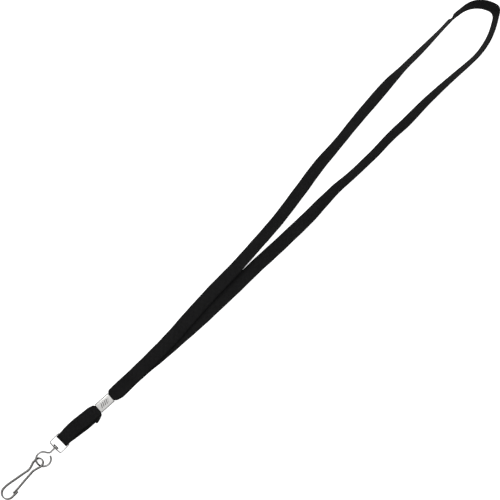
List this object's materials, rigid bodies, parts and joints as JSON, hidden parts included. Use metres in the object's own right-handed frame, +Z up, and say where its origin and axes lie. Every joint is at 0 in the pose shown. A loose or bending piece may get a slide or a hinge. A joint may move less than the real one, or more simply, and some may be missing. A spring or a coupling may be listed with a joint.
{
  "type": "neck lanyard with a spring hook",
  "caption": "Flat black woven strap that hangs round the neck, held in a metal crimp, with a bail, a swivel eye and a flat spring hook on its tail loop.",
  "frame": {"origin": "middle of the crimp's flat back, on the table that the lanyard lies on", "axes": "+Y up the strap to the neck bend, so -Y runs to the hook, +X to the right of the strap seen from above, +Z up off the table"},
  "size_m": [0.0367, 0.5024, 0.0133],
  "materials": {
    "woven_polyester": "flat woven braid, matt",
    "satin_nickel": "satin nickel plate",
    "bright_nickel": "bright nickel plate",
    "spring_steel": "satin nickel plate over rolled spring strip"
  },
  "bodies": {
    "lanyard": {"strap": "woven_polyester", "crimp": "satin_nickel"},
    "bail": {"strap_bail": "bright_nickel"},
    "swivel": {"swivel_eye": "bright_nickel"},
    "hook": {"spring_hook": "spring_steel"},
    "gate": {"hook_gate": "spring_steel"}
  },
  "joints": [
    {"name": "bail_tilt", "type": "hinge", "parent": "lanyard", "child": "bail", "pos_m": [-0.00255, -0.03903, 0.00287], "axis": [1, 0, 0], "range_deg": [-100, 100]},
    {"name": "swivel_spin", "type": "hinge", "parent": "bail", "child": "swivel", "pos_m": [-0.00255, -0.05, 0.00287], "axis": [0, 1, 0], "continuous": true},
    {"name": "hook_swing", "type": "hinge", "parent": "swivel", "child": "hook", "pos_m": [-0.0032, -0.06379, 0.00313], "axis": [0.766, 0, -0.6428], "range_deg": [-110, 110]},
    {"name": "gate_flex", "type": "hinge", "parent": "hook", "child": "gate", "pos_m": [-0.00174, -0.07193, 0.00412], "axis": [-0.4067, 0, 0.9136], "range_deg": [-18, 0], "stiffness_Nm_per_rad": 0.05}
  ]
}
